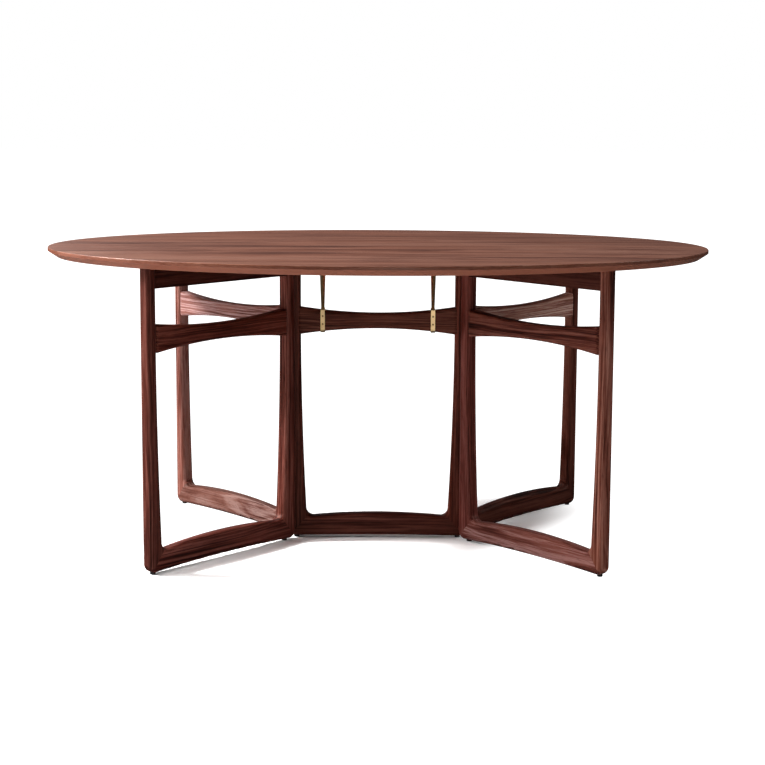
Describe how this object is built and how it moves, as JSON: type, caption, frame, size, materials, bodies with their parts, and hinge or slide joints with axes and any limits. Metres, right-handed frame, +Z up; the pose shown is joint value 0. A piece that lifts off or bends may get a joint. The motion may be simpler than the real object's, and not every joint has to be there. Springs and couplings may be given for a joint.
{
  "type": "drop-leaf dining table",
  "caption": "Oval drop-leaf dining table: centre board on a fixed frame, hinged leaves held up by folding gates, brass V straps.",
  "frame": {"origin": "on the floor, under the middle of the oval top", "axes": "+X along the table's length, +Y across it, away from the side that the picture shows, +Z up"},
  "size_m": [1.61, 1.2, 0.73],
  "materials": {
    "walnut_top": "oiled, satin",
    "walnut_frame": "oiled, satin",
    "brass": "brushed, slightly aged",
    "black_glide": "matt"
  },
  "bodies": {
    "centre_frame": {"board_screws": "brass", "centre_board": "walnut_top", "centre_glides": "black_glide", "centre_lower_rail": "walnut_frame", "centre_post_left": "walnut_frame", "centre_post_right": "walnut_frame", "centre_stretcher": "walnut_frame", "centre_top_rail": "walnut_frame", "gate_hinge_pins": "brass", "gate_hinge_post_plates": "brass", "gate_hinge_post_screws": "brass", "leaf_hinge_board_plates": "brass", "leaf_hinge_board_screws": "brass", "leaf_hinge_pins": "brass", "strap_left": "brass", "strap_right": "brass", "strap_screws": "brass"},
    "front_leaf": {"leaf_front": "walnut_top", "leaf_front_hinge_plates": "brass", "leaf_front_hinge_screws": "brass", "leaf_front_stop_blocks": "walnut_frame"},
    "rear_leaf": {"leaf_rear": "walnut_top", "leaf_rear_hinge_plates": "brass", "leaf_rear_hinge_screws": "brass", "leaf_rear_stop_blocks": "walnut_frame"},
    "front_left_gate": {"front_left_gate_glides": "black_glide", "front_left_gate_hinge_plates": "brass", "front_left_gate_hinge_post": "walnut_frame", "front_left_gate_hinge_screws": "brass", "front_left_gate_lower_rail": "walnut_frame", "front_left_gate_outer_leg": "walnut_frame", "front_left_gate_stretcher": "walnut_frame", "front_left_gate_top_rail": "walnut_frame"},
    "front_right_gate": {"front_right_gate_glides": "black_glide", "front_right_gate_hinge_plates": "brass", "front_right_gate_hinge_post": "walnut_frame", "front_right_gate_hinge_screws": "brass", "front_right_gate_lower_rail": "walnut_frame", "front_right_gate_outer_leg": "walnut_frame", "front_right_gate_stretcher": "walnut_frame", "front_right_gate_top_rail": "walnut_frame"},
    "rear_left_gate": {"rear_left_gate_glides": "black_glide", "rear_left_gate_hinge_plates": "brass", "rear_left_gate_hinge_post": "walnut_frame", "rear_left_gate_hinge_screws": "brass", "rear_left_gate_lower_rail": "walnut_frame", "rear_left_gate_outer_leg": "walnut_frame", "rear_left_gate_stretcher": "walnut_frame", "rear_left_gate_top_rail": "walnut_frame"},
    "rear_right_gate": {"rear_right_gate_glides": "black_glide", "rear_right_gate_hinge_plates": "brass", "rear_right_gate_hinge_post": "walnut_frame", "rear_right_gate_hinge_screws": "brass", "rear_right_gate_lower_rail": "walnut_frame", "rear_right_gate_outer_leg": "walnut_frame", "rear_right_gate_stretcher": "walnut_frame", "rear_right_gate_top_rail": "walnut_frame"}
  },
  "joints": [
    {"name": "front_left_gate_fold", "type": "hinge", "parent": "centre_frame", "child": "front_left_gate", "pos_m": [-0.226, -0.012, 0.345], "axis": [0, 0, -1], "range_deg": [0, 50.8]},
    {"name": "front_right_gate_fold", "type": "hinge", "parent": "centre_frame", "child": "front_right_gate", "pos_m": [0.226, -0.012, 0.345], "axis": [0, 0, 1], "range_deg": [0, 50.8]},
    {"name": "rear_left_gate_fold", "type": "hinge", "parent": "centre_frame", "child": "rear_left_gate", "pos_m": [-0.226, 0.012, 0.345], "axis": [0, 0, 1], "range_deg": [-1.2, 49.6]},
    {"name": "rear_right_gate_fold", "type": "hinge", "parent": "centre_frame", "child": "rear_right_gate", "pos_m": [0.226, 0.012, 0.345], "axis": [0, 0, -1], "range_deg": [0, 50.8]},
    {"name": "front_leaf_lift", "type": "hinge", "parent": "centre_frame", "child": "front_leaf", "pos_m": [0, -0.18, 0.711], "axis": [-1, 0, 0], "range_deg": [0, 1.5]},
    {"name": "rear_leaf_lift", "type": "hinge", "parent": "centre_frame", "child": "rear_leaf", "pos_m": [0, 0.18, 0.711], "axis": [1, 0, 0], "range_deg": [0, 1.5]}
  ]
}
